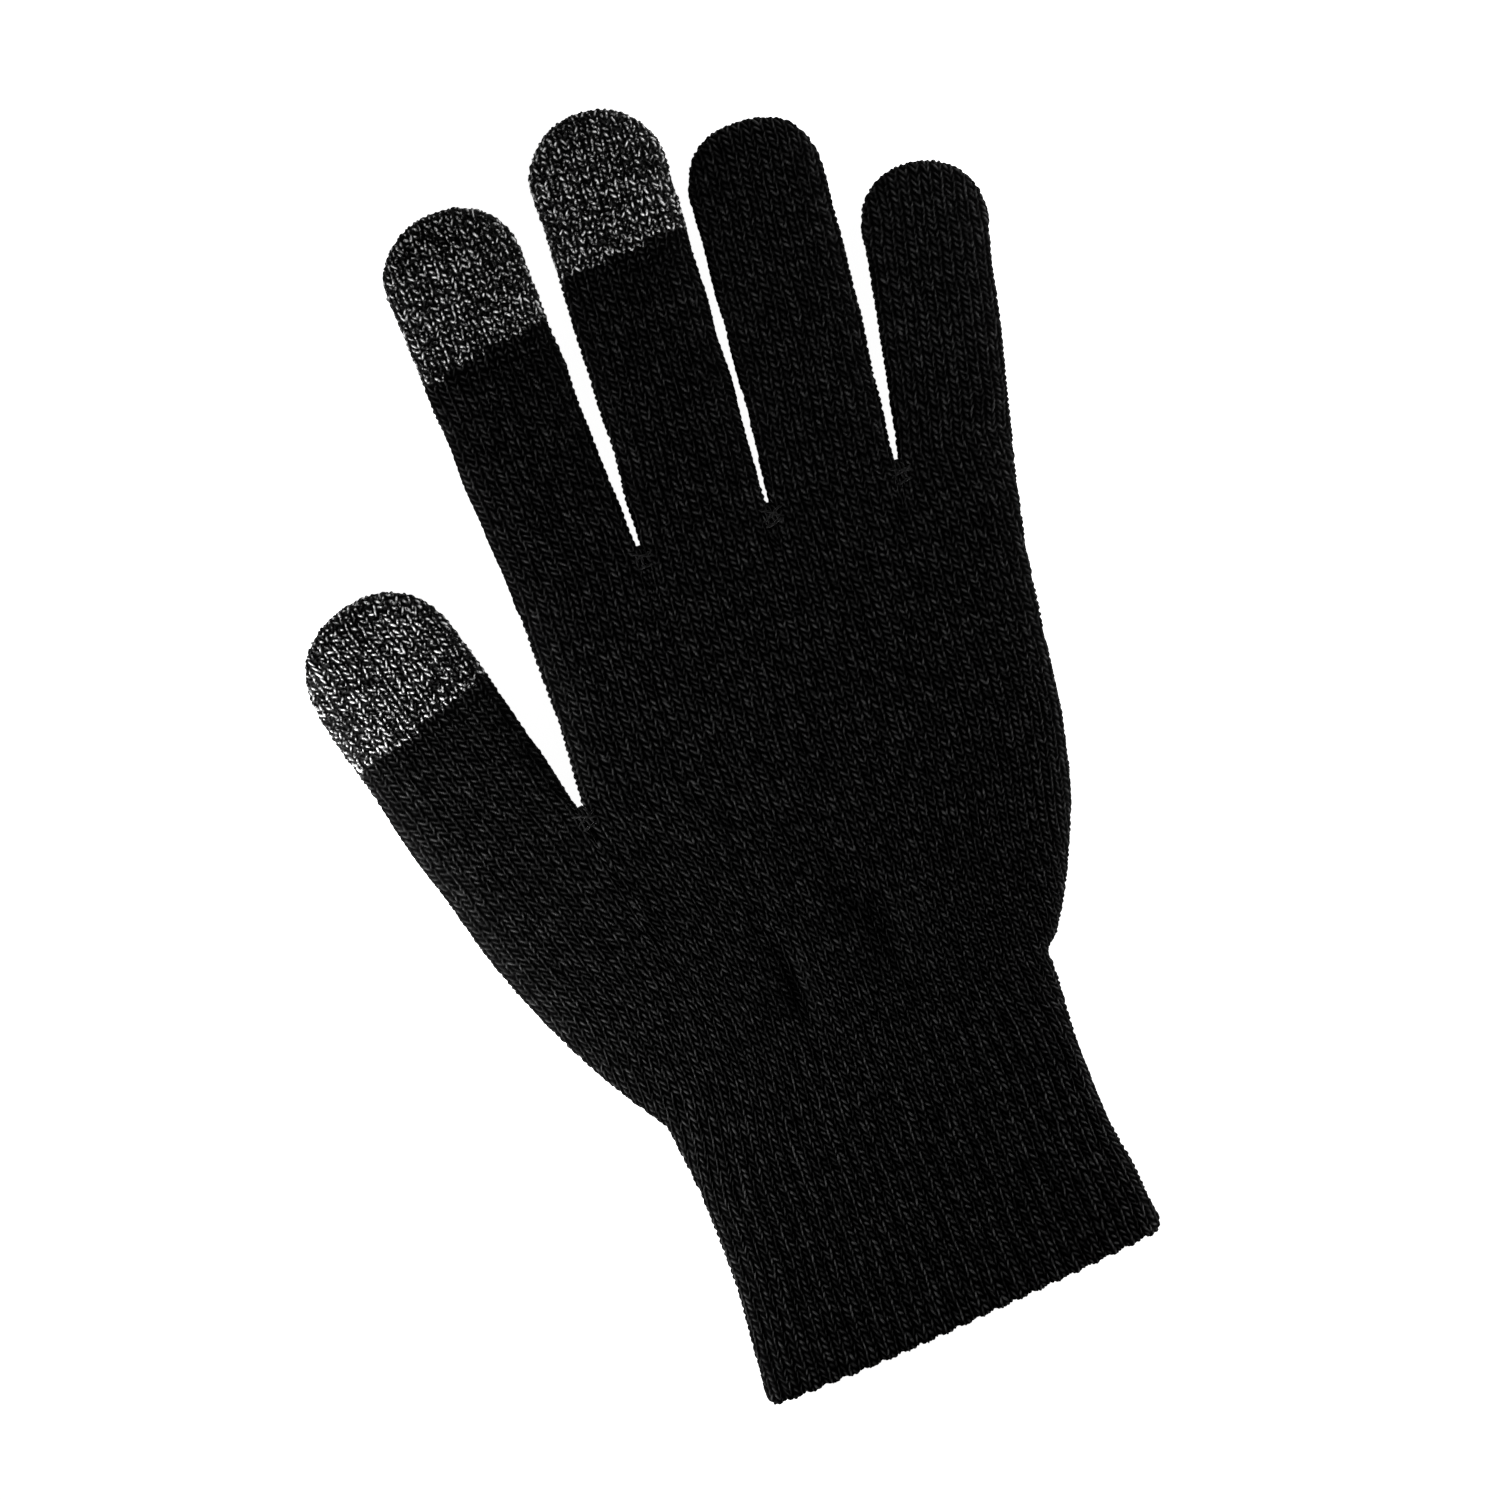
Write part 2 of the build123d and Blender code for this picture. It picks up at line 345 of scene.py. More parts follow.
def mesh_piece(name, points, facts, first=0, last=None, closed_end=False):
    """One piece from some of the rows of a knitted tube."""
    last = len(points) - 1 if last is None else last
    part = points[first : last + 1]
    rows, around = part.shape[:2]
    at = np.arange(rows * around).reshape(rows, around)
    a, b = at[:-1], np.roll(at, -1, axis=1)[:-1]
    d, e = at[1:], np.roll(at, -1, axis=1)[1:]
    quads = np.stack((a, b, e, d), axis=-1).reshape(-1, 4)
    count = around // 2
    over = part[:4, 3:count] - part[:4, 2 : count - 1]
    along = np.gradient(part[:4], axis=0)[:, 2 : count - 1]
    if np.cross(over, along)[..., 2].mean() < 0:
        quads = quads[:, ::-1]
    co = part.reshape(-1, 3)
    loops, sizes = quads.reshape(-1), np.full(len(quads), 4)
    normals = facts["normal"][first : last + 1].reshape(-1, 3)
    keys = [key for key in facts if key not in ("normal", "row")]
    values = {key: facts[key][first : last + 1].reshape(-1) for key in keys}
    if closed_end:
        tip = len(co)
        co = np.vstack((co, part[-1].mean(axis=0)))
        fan = np.stack((at[-1], np.roll(at[-1], -1), np.full(around, tip)), axis=-1)
        loops = np.concatenate((loops, fan.reshape(-1)))
        sizes = np.concatenate((sizes, np.full(around, 3)))
        values = {k: np.append(v, v[-1]) for k, v in values.items()}
        normals = np.vstack((normals, normals[-around:].mean(axis=0)))
    return make_mesh(name, co, loops, sizes, normals, values)


# ---------------------------------------------------------------- loose yarn


def through(points, count):
    """Points along a smooth curve through some places."""
    points = np.asarray(points, float)
    padded = np.vstack((2 * points[0] - points[1], points, 2 * points[-1] - points[-2]))
    made = []
    for a, b, c, d in zip(padded, padded[1:], padded[2:], padded[3:]):
        for t in np.linspace(0, 1, count, endpoint=False):
            made.append(0.5 * (2 * b + (c - a) * t + (2 * a - 5 * b + 4 * c - d) * t**2
                               + (3 * b - a - 3 * c + d) * t**3))
    made.append(points[-1])
    return np.array(made)


def yarn_rings(points, radius, sides=12, twist=2.6):
    """Rings of points round a twisted two-ply yarn, with how far out each stands."""
    ahead = np.gradient(points, axis=0)
    ahead /= np.maximum(np.linalg.norm(ahead, axis=1, keepdims=True), 1e-9)
    side = np.cross(ahead, (0.31, 0.2, 0.93))
    side /= np.maximum(np.linalg.norm(side, axis=1, keepdims=True), 1e-9)
    up = np.cross(side, ahead)
    run = np.concatenate(([0], np.cumsum(np.linalg.norm(np.diff(points, axis=0), axis=1))))
    around = np.linspace(0, 2 * math.pi, sides, endpoint=False)[None, :]
    ply = np.abs(np.cos(around - (run * twist)[:, None]))
    taper = np.sqrt(np.clip(np.minimum(run, run[-1] - run) / (radius * 0.8), 0.06, 1))[:, None]
    reach = radius * (0.74 + 0.26 * ply) * taper
    place = points[:, None] + reach[..., None] * (
        side[:, None] * np.cos(around)[..., None] + up[:, None] * np.sin(around)[..., None]
    )
    return place, ply


def yarn_piece(name, paths, radius, steps=8):
    """Several lengths of twisted yarn as one piece."""
    rng = np.random.default_rng(SEED + len(name))
    co, loops, crown, tone, start = [], [], [], [], 0
    for path in paths:
        place, ply = yarn_rings(through(path, steps), radius)
        rows, sides = ply.shape
        at = np.arange(rows * sides).reshape(rows, sides) + start
        across = np.roll(at, -1, axis=1)
        quads = np.stack((at[:-1], across[:-1], across[1:], at[1:]), axis=-1).reshape(-1, 4)
        loops.append(quads.reshape(-1))
        co.append(place.reshape(-1, 3))
        # Painted shade between the plies and painted light on the top of each, by how far it stands out.
        crown.append((0.25 + 0.5 * ply).reshape(-1))
        tone.append(np.full(rows * sides, rng.uniform(0.3, 0.9)))
        start += rows * sides
    loops = np.concatenate(loops)
    values = {"crown": np.concatenate(crown), "tone": np.concatenate(tone)}
    return make_mesh(name, np.concatenate(co), loops, np.full(len(loops) // 4, 4), None, values)


# ---------------------------------------------------------------- materials


def shader(name):
    """A new material, with its node tree and its main shader."""
    material = bpy.data.materials.new(name)
    material.use_nodes = True
    tree = material.node_tree
    return material, tree, tree.nodes["Principled BSDF"]


def ramp(tree, source, stops):
    """A grey from a value, by (position, grey) stops."""
    made = tree.nodes.new("ShaderNodeValToRGB")
    elements = made.color_ramp.elements
    while len(elements) < len(stops):
        elements.new(0.5)
    for element, (position, grey) in zip(elements, stops):
        element.position = position
        element.color = (grey, grey, grey, 1)
    tree.links.new(source, made.inputs["Fac"])
    return made.outputs["Color"]


def maths(tree, operation, *values):
    """One sum on two or three values, each a socket or a number."""
    made = tree.nodes.new("ShaderNodeMath")
    made.operation = operation
    for socket, value in zip(made.inputs, values):
        if isinstance(value, (int, float)):
            socket.default_value = value
        else:
            tree.links.new(value, socket)
    return made.outputs["Value"]


def kept(tree, name):
    """A number that the mesh keeps on its points."""
    made = tree.nodes.new("ShaderNodeAttribute")
    made.attribute_name = name
    return made.outputs["Fac"]


def fibres(tree, scale, detail=3.0):
    """Fine noise of loose fibres, in the object's own space."""
    where = tree.nodes.new("ShaderNodeTexCoord")
    noise = tree.nodes.new("ShaderNodeTexNoise")
    noise.inputs["Scale"].default_value = scale
    noise.inputs["Detail"].default_value = detail
    noise.inputs["Roughness"].default_value = 0.65
    tree.links.new(where.outputs["Object"], noise.inputs["Vector"])
    return noise.outputs["Fac"]


def yarn_finish(tree, main, roughness):
    """Roughness and bump from the fibres, shared by every yarn."""
    rough = maths(tree, "MULTIPLY_ADD", fibres(tree, 900), 0.2, roughness)
    tree.links.new(rough, main.inputs["Roughness"])
    bump = tree.nodes.new("ShaderNodeBump")
    bump.inputs["Strength"].default_value = 0.5
    bump.inputs["Distance"].default_value = 0.0001
    tree.links.new(fibres(tree, 2600, 2.0), bump.inputs["Height"])
    tree.links.new(bump.outputs["Normal"], main.inputs["Normal"])


# Greys of the black yarn, by the height of the yarn and its own tone: painted shade between the loops, painted
# light on their tops.
BLACK_PAINTED_GREYS = ((0.16, 0.0005), (0.45, 0.0052), (0.72, 0.0172), (1.0, 0.0460))


def black_with_painted_shade(tree):
    """Black yarn, with painted shade that leaves it nearly lightless between the loops and painted light a little
    lighter on their tops.
    """
    own = maths(tree, "MULTIPLY_ADD", kept(tree, "tone"), 0.42, 0.62)
    fuzz = maths(tree, "MULTIPLY_ADD", fibres(tree, 1900), 1.3, 0.35)
    lit = maths(tree, "MULTIPLY", maths(tree, "MULTIPLY", kept(tree, "crown"), own), fuzz)
    return ramp(tree, lit, BLACK_PAINTED_GREYS)


def matt(main, specular):
    """The dull finish of stretch yarn, with a faint bloom of fibres at glancing angles."""
    main.inputs["Specular IOR Level"].default_value = specular
    main.inputs["Sheen Weight"].default_value = 0.3
    main.inputs["Sheen Roughness"].default_value = 0.2


def black_knit():
    """Dull black stretch yarn."""
    material, tree, main = shader("black_knit_yarn")
    tree.links.new(black_with_painted_shade(tree), main.inputs["Base Color"])
    yarn_finish(tree, main, 0.62)
    matt(main, 0.01)
    return material


def conductive_knit():
    """Grey marl: a dark yarn twisted with a light one, so that some loops show white; the marl has painted shade
    between the loops, by the height of the yarn.
    """
    material, tree, main = shader("conductive_knit_yarn")
    twist = maths(tree, "MULTIPLY_ADD", fibres(tree, 2000, 1.0), 2.6, -1.4)
    patch = maths(tree, "MULTIPLY_ADD", fibres(tree, 380, 1.0), 0.6, twist)
    light = maths(tree, "MULTIPLY_ADD", kept(tree, "tone"), 0.6, patch)
    yarn = ramp(tree, light, [(0.20, 0.015), (0.42, 0.07), (0.62, 0.50), (0.92, 1.0)])
    # Painted shade: the marl is darkened between the loops, by the height of the yarn.
    painted_valley_shade = ramp(tree, kept(tree, "crown"), [(0.22, 0.02), (0.52, 0.30), (0.84, 1.0)])
    shaded_marl = tree.nodes.new("ShaderNodeMix")
    shaded_marl.data_type, shaded_marl.blend_type = "RGBA", "MULTIPLY"
    shaded_marl.inputs["Factor"].default_value = 1.0
    tree.links.new(yarn, shaded_marl.inputs[6])
    tree.links.new(painted_valley_shade, shaded_marl.inputs[7])
    which = tree.nodes.new("ShaderNodeMix")
    which.data_type = "RGBA"
    tree.links.new(kept(tree, "marl"), which.inputs["Factor"])
    tree.links.new(black_with_painted_shade(tree), which.inputs[6])
    tree.links.new(shaded_marl.outputs[2], which.inputs[7])
    tree.links.new(which.outputs[2], main.inputs["Base Color"])
    yarn_finish(tree, main, 0.5)
    matt(main, 0.02)
    return material


def darning_yarn():
    """Two-ply black yarn, a little glossier than the knit."""
    material, tree, main = shader("darning_yarn")
    tree.links.new(black_with_painted_shade(tree), main.inputs["Base Color"])
    yarn_finish(tree, main, 0.5)
    matt(main, 0.03)
    return material


def elastic_thread():
    """Rubber thread wound with fine black filament."""
    material, tree, main = shader("covered_elastic")
    where = tree.nodes.new("ShaderNodeTexCoord")
    wind = tree.nodes.new("ShaderNodeTexWave")
    wind.bands_direction = "DIAGONAL"
    wind.inputs["Scale"].default_value = 900
    wind.inputs["Distortion"].default_value = 1.5
    tree.links.new(where.outputs["Object"], wind.inputs["Vector"])
    wound = ramp(tree, wind.outputs["Fac"], [(0.2, 0.003), (1.0, 0.022)])
    tree.links.new(wound, main.inputs["Base Color"])
    yarn_finish(tree, main, 0.4)
    matt(main, 0.15)
    return material


BLACK, CONDUCTIVE = black_knit(), conductive_knit()
DARNING, ELASTIC = darning_yarn(), elastic_thread()


def dress(piece, material, slot, *nodes):
    """Gives a piece its material and hides the CAD nodes that it stands for; its slot is not used."""
    piece.data.materials.append(material)
    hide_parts(*nodes)
    return piece


# ---------------------------------------------------------------- fingers and thumb

INNER_SIDES = {"index": "r", "middle": "lr", "ring": "lr", "little": "l", "thumb": "r"}
# Rows that the marl yarn's first row climbs in each millimetre across the tube.
SLANTS = {"thumb": 0.076, "index": 0.12, "middle": 0.12}
# How square each tip is, how much blunter than the CAD's, and how far the digit bows sideways.
TIPS = {
    "thumb": (2.15, 0.0, 0.0), "index": (2.2, 0.4, 0.0), "middle": (2.1, 0.0, 0.35),
    "ring": (2.45, 1.3, 0.3), "little": (2.2, 0.3, 0.0),
}


class Digit:
    """One finger or thumb: its shape along its own line, and where its creases are."""

    def __init__(self, name):
        self.name = name
        self.joints = [f"{name}_knuckle", f"{name}_middle_joint", f"{name}_end_joint"]
        ends = ["base", "mid", "touch_tip" if name in TOUCH else "tip"]
        if name == "thumb":
            self.joints, ends = ["thumb_root", "thumb_joint"], ["base", "touch_tip"]
        self.nodes = [f"{name}_{end}" for end in ends]
        self.base = joint_place(self.joints[0])
        far = joint_place(self.joints[-1])
        self.along = (far - self.base) / np.linalg.norm(far - self.base)
        self.creases = [float((joint_place(j) - self.base) @ self.along) for j in self.joints]
        reach = max(
            (np.array(v.co[:2]) / MM - self.base) @ self.along
            for v in frame["nodes"][self.nodes[-1]].data.vertices
        )
        facing = joint_facing(self.joints[0])
        lean = math.atan2(self.along[0], self.along[1]) - math.atan2(facing[0], facing[1])
        fine = np.linspace(0, reach - 0.02, 700)
        low, high = outline(self.nodes, self.base, self.along, fine)
        half = bridged(fine, (high - low) / 2, self.creases, 15 * abs(math.tan(lean)) + 0.6)
        square, blunt, bow = TIPS[name]
        reach -= blunt
        tip_radius = half[np.abs(fine - (reach - half.max())).argmin()]
        fine *= reach / (reach + blunt)
        past = np.clip((fine - (reach - tip_radius)) / tip_radius, 0, 1)
        half = np.where(past > 0, tip_radius * (1 - past**square) ** (1 / square), half)
        skew = lean * (1 - smooth(fine, 0, 14))
        half = half / np.cos(skew) - 0.1
        half = half + 0.18 * waves(fine, fine * 0, (13, 21), sum(map(ord, name)))
        angle = math.atan2(self.along[0], self.along[1]) - skew
        self.across = np.stack((np.cos(angle), -np.sin(angle)), axis=1)
        self.fine, self.reach, self.half = fine, reach, np.maximum(half, 0.05)
        self.bow = bow * smooth(fine, 3, 26)
        self.widen = {"l": 0.0, "r": 0.0}

    def end_at_base(self, side):
        """The end of its first row, seen from above."""
        sign = -1 if side == "l" else 1
        return self.base + sign * self.across[0] * (self.half[0] + self.widen[side])

    def tube(self, stations, columns):
        """The rows of points across it at some stations."""
        def at(values):
            return np.interp(stations, self.fine, values)

        fade = 1 - smooth(stations, 0, 18)
        across = np.stack((at(self.across[:, 0]), at(self.across[:, 1])), axis=1)
        middle = self.base + self.along * stations[:, None] + across * at(self.bow)[:, None]
        half = at(self.half)
        left = middle - across * (half + self.widen["l"] * fade)[:, None]
        right = middle + across * (half + self.widen["r"] * fade)[:, None]
        inner = FOLD_AT_CROTCH + (6 - FOLD_AT_CROTCH) * smooth(stations, 0, 13)
        outer = np.full_like(inner, FOLD)
        fold_left = inner if "l" in INNER_SIDES[self.name] else outer
        fold_right = inner if "r" in INNER_SIDES[self.name] else outer
        blunt = np.sqrt(np.clip(1 - (1 - np.clip((self.reach - stations) / 8.0, 0, 1)) ** 2, 0, 1))
        rise = HALF_HEIGHT * (1 - 0.06 * smooth(stations, 2, 16)) * blunt
        return Tube(left, right, fold_left, fold_right, rise, columns)

    def stations(self, low, high, step):
        """Stations an even step apart round its outline."""
        inside = np.linspace(low, high, 600)
        edge = np.interp(inside, self.fine, self.half)
        walked = np.concatenate(([0], np.cumsum(np.hypot(np.diff(inside), np.diff(edge)))))
        return np.interp(np.linspace(0, walked[-1], int(walked[-1] / step) + 1), walked, inside)

    def close(self):
        """Settles its rows once its neighbours are known."""
        self.columns = int(2 * self.half[0] / COLUMN_STEP) + 1
        crease = self.creases[-1] - TIP_LEAD * COURSE
        self.rows = self.stations(0, crease if self.name in TOUCH else self.reach - 0.02, ROW_STEP)
        self.body = self.tube(self.rows, self.columns)
        self.tip_rows = self.stations(crease, self.reach - 0.02, FINE_STEP)

    def counts(self, tube, stations, column_at_middle, row_at_base):
        """The stitch column and row at each point, counted on from the palm's."""
        w = column_at_middle + tube.across / WALE
        c = row_at_base + np.repeat(stations[:, None], w.shape[1], axis=1) / COURSE
        return w, c

    def knit(self, column_at_middle, row_at_base):
        """Raises the yarn of its body, and of its marl tip if it has one."""
        self.points, self.facts = knitted(
            self.body, *self.counts(self.body, self.rows, column_at_middle, row_at_base)
        )
        if self.name in TOUCH:
            tube = self.tube(self.tip_rows, int(2 * self.half[0] / FINE_STEP) + 1)
            w, c = self.counts(tube, self.tip_rows, column_at_middle, row_at_base)
            self.tip_points, self.tip_facts = knitted(tube, w, c, legs=MARL, jitter=0.28)
            change = row_at_base + self.creases[-1] / COURSE
            change = change + SLANTS[self.name] * ring(tube.across, tube.across)
            self.tip_facts["marl"] = (self.tip_facts["row"] >= change).astype(float)


def digit_pieces(digit):
    """The digit in pieces that each hold one crease, and the tip in its own yarn."""
    name, touch = digit.name, digit.name in TOUCH
    joins = digit.creases
    halves = [(0.0, min(9.0, (joins[1] - 5.0) * 0.62))] + [(-5.0, 5.0)] * (len(joins) - 1)
    stops = [0.0]
    for k in range(len(joins) - 1):
        stops.append((joins[k] + halves[k][1] + joins[k + 1] + halves[k + 1][0]) / 2)
    for k, joint in enumerate(digit.joints):
        last = k == len(joins) - 1
        low = int(np.abs(digit.rows - stops[k]).argmin())
        high = len(digit.rows) - 1 if last else int(np.abs(digit.rows - stops[k + 1]).argmin())
        piece_name = f"{name}_crease_knit" if last and touch else f"{digit.nodes[k]}_knit"
        covers = digit.nodes[k - 1] if last and touch else digit.nodes[k]
        closed = last and not touch
        made = [dress(mesh_piece(piece_name, digit.points, digit.facts, low, high, closed),
                      BLACK, "black_knit", covers)]
        if last and touch:
            tip = mesh_piece(
                f"{digit.nodes[k]}_knit", digit.tip_points, digit.tip_facts, closed_end=True
            )
            made.append(dress(tip, CONDUCTIVE, "conductive_knit", digit.nodes[k]))
        for piece in made:
            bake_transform(piece)


def tied_end(digit):
    """The yarn knotted off inside the tip: an overhand knot and its tail."""
    low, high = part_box(f"{digit.name}_tip_knot")
    middle = (np.array(low[:2]) + np.array(high[:2])) / 2 / MM
    floor, along = low.z / MM, np.array((*digit.along, 0))
    side = np.cross(along, (0, 0, 1))
    span = max(abs((np.array(v.co[:2]) / MM - middle) @ digit.along)
               for v in frame["nodes"][f"{digit.name}_tip_knot"].data.vertices)
    centre = np.array((*middle, floor + 1.25)) + along * (span - 1.25)
    path = []
    for t in np.linspace(0.5, 2 * math.pi - 0.35, 17):
        path.append(centre + 0.29 * (
            side * (math.sin(t) + 2 * math.sin(2 * t)) + along * (math.cos(t) - 2 * math.cos(2 * t))
        ) + np.array((0, 0, -0.5 * math.sin(3 * t))))
    tail = [centre - along * 1.6 + side * 0.3 - (0, 0, 0.6)]
    for k in range(1, 5):
        back = along * (1.6 + (2 * span - 3.4) * k / 4)
        tail.append(centre - back + side * 0.4 * math.sin(2.2 * k) - (0, 0, 0.85))
    piece = yarn_piece(f"{digit.name}_tied_end", [path, tail], 0.3)
    dress(piece, DARNING, "darning_yarn", f"{digit.name}_tip_knot")
    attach(piece, f"{digit.name}_tip")


def darned(first, second, place, along):
    """Stitches that close the gap where two tubes part: over the gap, and round its edge."""
    name = f"darn_{first}_{second}"
    rng = np.random.default_rng(SEED + sum(map(ord, name)))
    across = np.array((along[1], -along[0]))

    def at(u, v, z):
        return np.array((*(place + across * u + along * v), z))

    top, bottom = MIDDLE + HALF_HEIGHT + 0.12, MIDDLE - HALF_HEIGHT + 0.05
    paths = []
    for u in (-0.75, 0.0, 0.75):
        lean = rng.uniform(-0.5, 0.5)
        paths.append([
            at(u * 1.5 + lean, -3.4, top - 0.35), at(u * 1.2 + lean / 2, -2.2, top + 0.05),
            at(u, -0.7, top - 0.1), at(u * 0.5, 0.25, MIDDLE + 2.3), at(u * 0.4, 0.45, MIDDLE),
            at(u * 0.5, 0.25, MIDDLE - 2.3), at(u, -0.7, bottom + 0.1),
            at(u * 1.2 - lean / 2, -2.2, bottom - 0.05), at(u * 1.5 - lean, -3.4, bottom + 0.35),
        ])
    crossings = ((-2.3, -0.4, 2.2, -2.3), (-2.2, -2.5, 2.4, -0.8), (-1.7, -3.6, 1.9, -3.2))
    for level, turn in ((top, 1), (bottom, -1)):
        for u0, v0, u1, v1 in crossings:
            slip = rng.uniform(-0.3, 0.3, 2)
            paths.append([
                at(u0, v0 + slip[0], level - 0.55 * turn),
                at(u0 * 0.6 + u1 * 0.4, v0 * 0.6 + v1 * 0.4 + slip[0], level + 0.22 * turn),
                at(u0 * 0.3 + u1 * 0.7, v0 * 0.3 + v1 * 0.7 + slip[1], level + 0.2 * turn),
                at(u1, v1 + slip[1], level - 0.55 * turn),
            ])
    piece = yarn_piece(f"{name}_stitches", paths, YARN)
    dress(piece, DARNING, "darning_yarn", name)
    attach(piece, "palm")


# ---------------------------------------------------------------- palm, wrist and cuff


def side_curve(nodes, ys, side, cuts=(), near=1.2):
    """Points on one outer side of some nodes, at these levels along the palm."""
    low, high = outline(nodes, np.zeros(2), np.array((0.0, 1.0)), ys)
    edge = low if side == "left" else high
    return np.stack((bridged(ys, edge, cuts, near), ys), axis=1)


def averaged(values, length):
    """Values of many rows, smoothed over a length along them."""
    kernel = np.hanning(int(length / ROW_STEP) | 1)
    padded = np.pad(values, len(kernel) // 2, mode="reflect", reflect_type="odd")
    return np.convolve(padded, kernel / kernel.sum(), mode="valid")


def pulled(rows, first, pull):
    """Pulls a tube's rows towards a given first row, by a share for each row."""
    return rows + pull * (first[0] - rows[0])


digits = {name: Digit(name) for name in (*FINGERS, "thumb")}
thumb = digits["thumb"]
knuckle_y = digits["middle"].base[1]
crotch_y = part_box("palm_upper")[0].y / MM

# Each finger widens at its base until it nearly meets its neighbour.
crotches = {}
for name, following in zip(FINGERS, FINGERS[1:]):
    here, there = digits[name].end_at_base("r"), digits[following].end_at_base("l")
    crotches[name, following] = (here + there) / 2
    spare = (np.linalg.norm(there - here) - 0.5) / 2
    digits[name].widen["r"] += spare
    digits[following].widen["l"] += spare

upper_rows = int((knuckle_y - crotch_y) / ROW_STEP)
upper_y = np.linspace(knuckle_y, crotch_y, upper_rows)
left = side_curve(["palm_upper"], upper_y, "left", (knuckle_y, crotch_y))
right = side_curve(["palm_upper"], upper_y, "right", (knuckle_y, crotch_y))
left[:, 0] += 0.1
right[:, 0] -= 0.1
THUMB_CROTCH = (thumb.end_at_base("r") + left[-1]) / 2
spare = (np.linalg.norm(left[-1] - thumb.end_at_base("r")) - 0.5) / 2
thumb.widen["r"] = spare
left[:, 0] -= spare * smooth(-upper_y, -crotch_y - 16, -crotch_y)
crotches["thumb", "palm"] = THUMB_CROTCH
for digit in digits.values():
    digit.close()

# The palm above the thumb: its first row is the first rows of the four fingers, side by side.
columns = sum(digits[name].columns for name in FINGERS)
down = knuckle_y - upper_y
fold_left = FOLD - (FOLD - FOLD_AT_CROTCH) * smooth(-upper_y, -crotch_y - 13, -crotch_y)
fold_right, half = np.full(upper_rows, FOLD), np.full(upper_rows, HALF_HEIGHT)
palm = Tube(left, right, fold_left, fold_right, half, columns)
pull = np.exp(-((down / 1.8) ** 2))[:, None, None]
for layer in ("upper", "lower"):
    first = np.concatenate([getattr(digits[n].body, layer)[:1] for n in FINGERS], axis=1)
    setattr(palm, layer, pulled(getattr(palm, layer), first, pull))
palm_left = left[0, 0]


def palm_column(x):
    """The stitch column at a place across the palm."""
    return (x - palm_left) / WALE


palm_w = palm_column(palm.upper[..., 0])
palm_c = (palm.upper[..., 1] - knuckle_y) / COURSE
finger_w = np.concatenate(
    [palm_column(digits[n].base[0]) + digits[n].body.across[0] / WALE for n in FINGERS]
)
palm_w += np.exp(-((down / 7.0) ** 2))[:, None] * (finger_w - palm_w[0])

# Below the thumb the palm and the cuff are one strip of rows, from the thumb to the mouth.
all_columns = thumb.columns + columns
wrist = joint_place("wrist_bend")
wrist_across = np.array(JOINTS["wrist_bend"]["axis"][:2])
wrist_across *= math.copysign(1, wrist_across[0])
wrist_down = np.array((wrist_across[1], -wrist_across[0]))
opening = frame["record"]["mounts"][1]
mouth = np.array(opening["pos_m"][:2]) / MM
mouth_down = np.array(opening["axis"][:2])
mouth_down *= -math.copysign(1, mouth_down[1])
mouth_across = np.array((-mouth_down[1], mouth_down[0]))
HALF_WRIST, HALF_MOUTH = 37.6, 38.2
HEEL_LENGTH, CUFF_LENGTH = 54.0, 52.5  # from the thumb to the wrist, and from there to the mouth
WELT = 2.6  # the overlocked edge
CORNER = 2.2  # rounding of the mouth's corners
WRIST_PIECE = 9.0  # how far the piece across the wrist reaches each way
WRIST_BEND = 8.5  # how far each way the fabric takes to bend; here it only places two points at the wrist, which nothing uses
SPREAD_BY = 0.45  # of the way to the wrist: the columns that the crotch squeezed are even
CLOSED_BY = 1.35  # of the way to the wrist: the columns have closed up for the cuff

heel_rows, cuff_rows = int(HEEL_LENGTH / ROW_STEP), int(CUFF_LENGTH / ROW_STEP)
tops = (thumb.body.upper[0, 0, 1], palm.upper[-1, -1, 1])
sides = []
for side, turn, top in (("left", -1, tops[0]), ("right", 1, tops[1])):
    low_y = (wrist + wrist_across * turn * HALF_WRIST)[1]
    end_y = (mouth + mouth_across * turn * HALF_MOUTH)[1]
    heel_y = np.linspace(top, low_y, heel_rows)
    cuff_y = np.linspace(low_y, end_y, cuff_rows + 1)[1:]
    heel = side_curve(["palm_lower"], heel_y, side, (top,), 2.0)
    band = side_curve(["cuff", "cuff_welt"], cuff_y, side, (end_y,), 1.5)
    whole = np.vstack((heel, band))
    near = slice(heel_rows - int(7 / ROW_STEP), heel_rows + int(7 / ROW_STEP))
    whole[near, 0] = averaged(whole[:, 0], 6)[near]
    whole[:, 0] += turn * (0.6 * np.exp(-(((whole[:, 1] - end_y - 12) / 8) ** 2)) - 0.1)
    sides.append(whole)
left, right = sides
outer = len(left)

# Over the mouth's edge and back inside, for the lining.
turns = np.linspace(0, math.pi, 7)[1:-1]
lining_rows = int(LINING / LINING_STEP)
inset = np.concatenate(
    (np.zeros(outer), FABRIC / 2 * (1 - np.cos(turns)), np.full(lining_rows, FABRIC))
)
back = outer - 1 - (np.arange(lining_rows) * LINING_STEP / ROW_STEP).astype(int)
source = np.concatenate((np.arange(outer), np.full(len(turns), outer - 1), back))
beyond = np.zeros(len(source))
beyond[outer : outer + len(turns)] = FABRIC / 2 * np.sin(turns)
left = left[source] + inset[:, None] * mouth_across + beyond[:, None] * mouth_down
right = right[source] - inset[:, None] * mouth_across + beyond[:, None] * mouth_down
folds = FOLD - inset
strip = Tube(left, right, folds, folds, HALF_HEIGHT - inset, all_columns)

rows = source / (heel_rows - 1)
pull = (np.clip(1 - rows, 0, 1) ** 1.6)[:, None, None]
quick = np.exp(-((source * ROW_STEP / 1.8) ** 2))[:, None]
for layer in ("upper", "lower"):
    first = np.concatenate((getattr(thumb.body, layer)[:1], getattr(palm, layer)[-1:]), axis=1)
    made = getattr(strip, layer)
    rise = made[..., 2] + quick * (first[0, :, 2] - made[0, :, 2])
    made[...] = pulled(made, first, pull)
    made[..., 2] = rise

